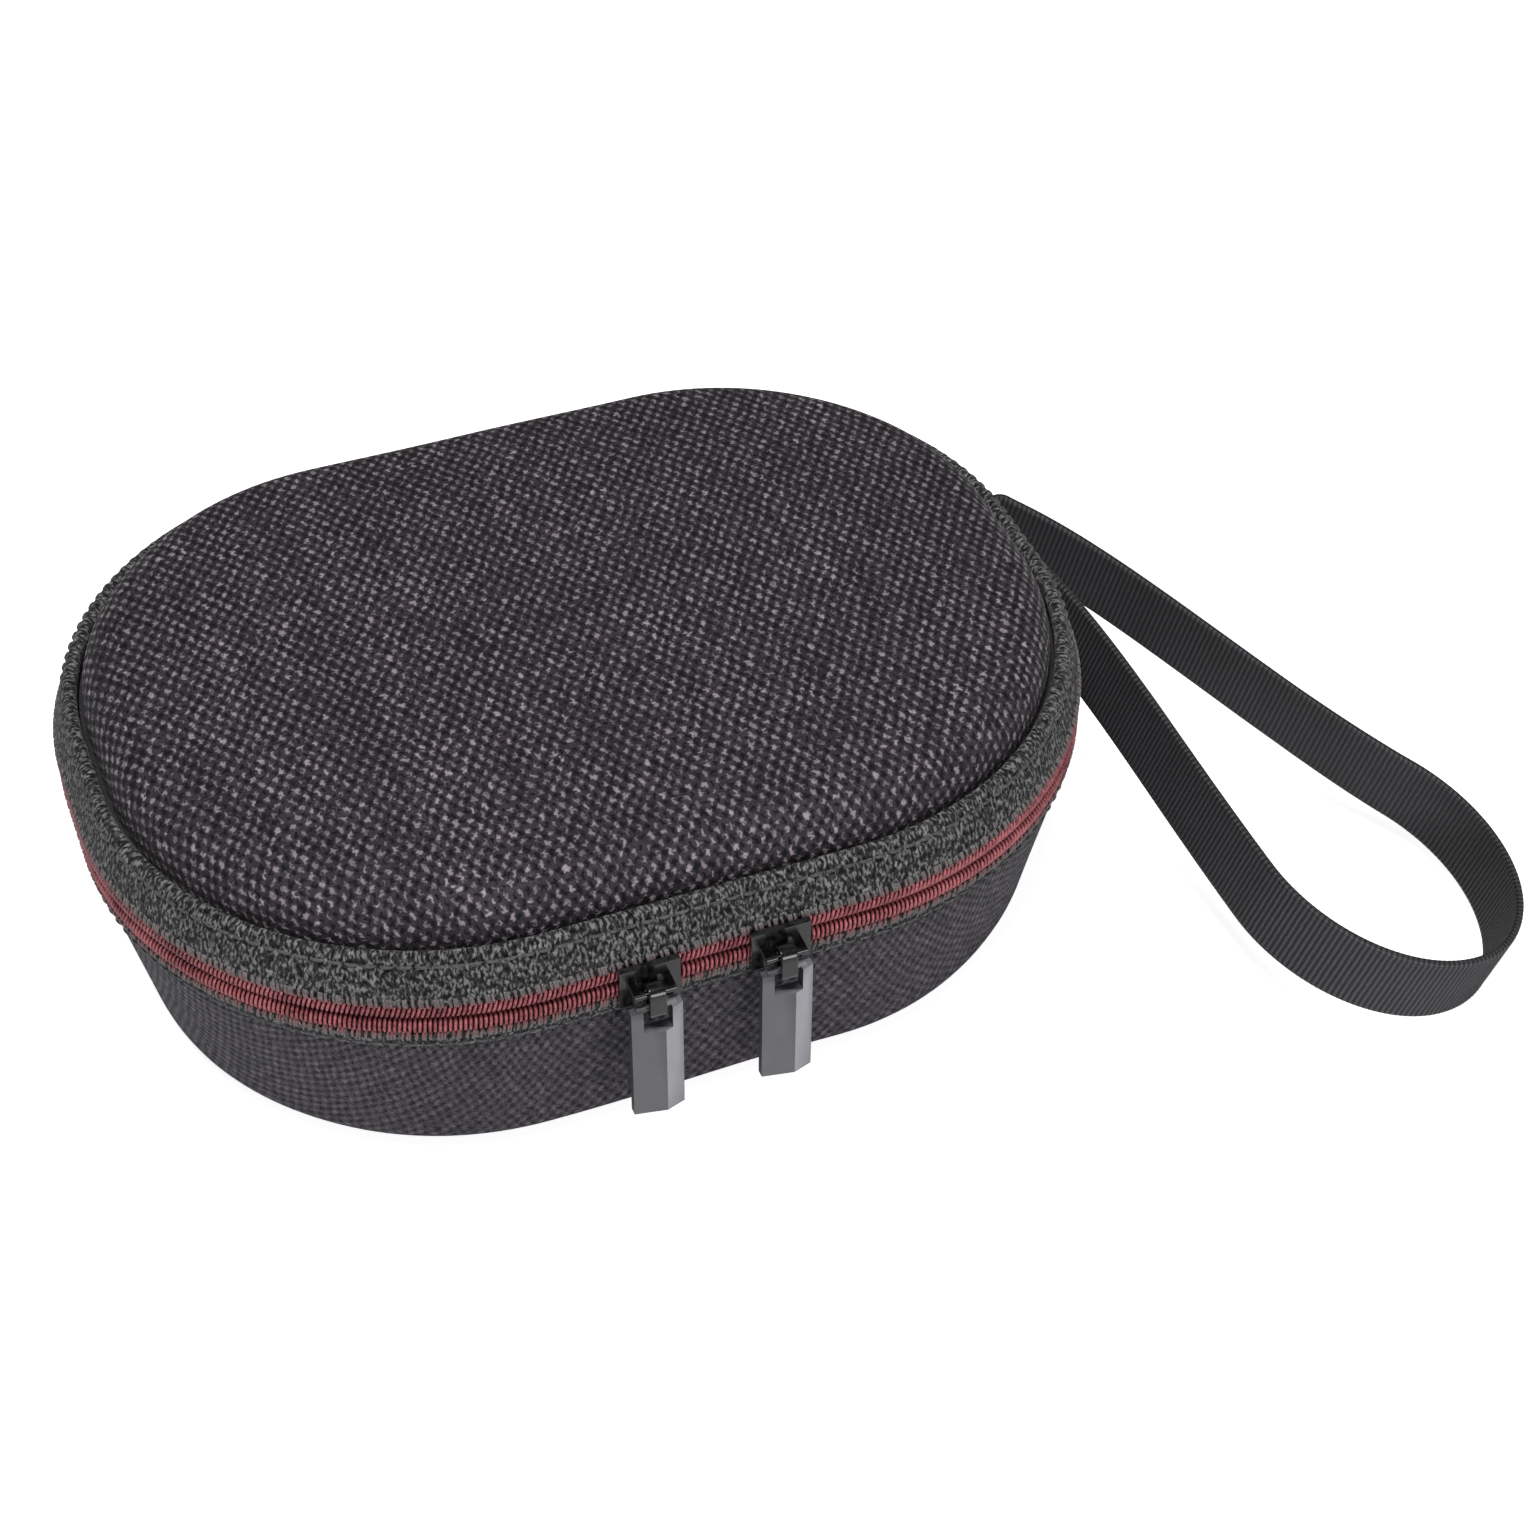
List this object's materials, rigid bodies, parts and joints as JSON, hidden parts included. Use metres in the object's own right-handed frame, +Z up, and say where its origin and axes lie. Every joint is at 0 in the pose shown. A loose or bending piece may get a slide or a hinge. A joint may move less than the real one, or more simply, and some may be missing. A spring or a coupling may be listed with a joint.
{
  "type": "headphone carrying case",
  "caption": "Moulded zip-round carrying case with a domed lid, two zip sliders with long tabs, a fabric hinge and a wrist strap.",
  "frame": {"origin": "middle of the base's flat bottom, on the table", "axes": "+Z up, +X along the long side towards the wrist strap, -Y towards the zip sliders"},
  "size_m": [0.2549, 0.1723, 0.0666],
  "materials": {
    "woven_cover": "coarse ballistic weave",
    "foam_shell": "moulded EVA foam",
    "lining": "brushed tricot",
    "zip_tape": "woven zip tape",
    "zip_coil": "red nylon coil",
    "thread": "sewing thread",
    "black_metal": "gloss black plating",
    "tab_grey": "moulded grey polymer",
    "end_stop": "black metal",
    "mesh": "open mesh",
    "elastic": "ribbed elastic",
    "webbing": "black grosgrain webbing"
  },
  "bodies": {
    "base": {"base_cover": "woven_cover", "base_shell": "foam_shell", "base_lining": "lining", "lower_zip_tape": "zip_tape", "base_seam_thread": "thread", "lower_zip_coil": "zip_coil", "lower_end_stops": "end_stop", "hinge_spine": "zip_tape", "base_binding": "elastic", "strap_anchor": "webbing", "strap_stitching": "thread"},
    "lid": {"lid_cover": "woven_cover", "lid_shell": "foam_shell", "lid_lining": "lining", "upper_zip_tape": "zip_tape", "lid_seam_thread": "thread", "upper_zip_coil": "zip_coil", "upper_end_stops": "end_stop", "lid_binding": "elastic", "mesh_pocket": "mesh", "pocket_elastic": "elastic"},
    "left_slider_body": {"left_slider": "black_metal"},
    "right_slider_body": {"right_slider": "black_metal"},
    "left_link": {"left_pull_link": "black_metal"},
    "right_link": {"right_pull_link": "black_metal"},
    "left_tab": {"left_pull_tab": "tab_grey"},
    "right_tab": {"right_pull_tab": "tab_grey"},
    "strap": {"wrist_strap": "webbing"}
  },
  "joints": [
    {"name": "lid_hinge", "type": "hinge", "parent": "base", "child": "lid", "pos_m": [0, 0.072, 0.044], "axis": [-1, 0, 0], "range_deg": [0, 180]},
    {"name": "left_slide", "type": "slide", "parent": "base", "child": "left_slider_body", "axis": [-1, 0, 0], "range_m": [-0.0055, 0.01]},
    {"name": "left_link_swing", "type": "hinge", "parent": "left_slider_body", "child": "left_link", "pos_m": [-0.012, -0.07585, 0.044], "axis": [-1, 0, 0], "range_deg": [0, 110]},
    {"name": "left_tab_swing", "type": "hinge", "parent": "left_link", "child": "left_tab", "pos_m": [-0.012, -0.07585, 0.0408], "axis": [-1, 0, 0], "range_deg": [-8, 60]},
    {"name": "right_slide", "type": "slide", "parent": "base", "child": "right_slider_body", "axis": [1, 0, 0], "range_m": [-0.0055, 0.01]},
    {"name": "right_link_swing", "type": "hinge", "parent": "right_slider_body", "child": "right_link", "pos_m": [0.012, -0.07585, 0.044], "axis": [-1, 0, 0], "range_deg": [0, 110]},
    {"name": "right_tab_swing", "type": "hinge", "parent": "right_link", "child": "right_tab", "pos_m": [0.012, -0.07585, 0.0408], "axis": [-1, 0, 0], "range_deg": [-8, 60]},
    {"name": "strap_swing", "type": "hinge", "parent": "base", "child": "strap", "pos_m": [0.0972, 0.014, 0.0375], "axis": [0, 0, 1], "range_deg": [-4, 90]}
  ]
}
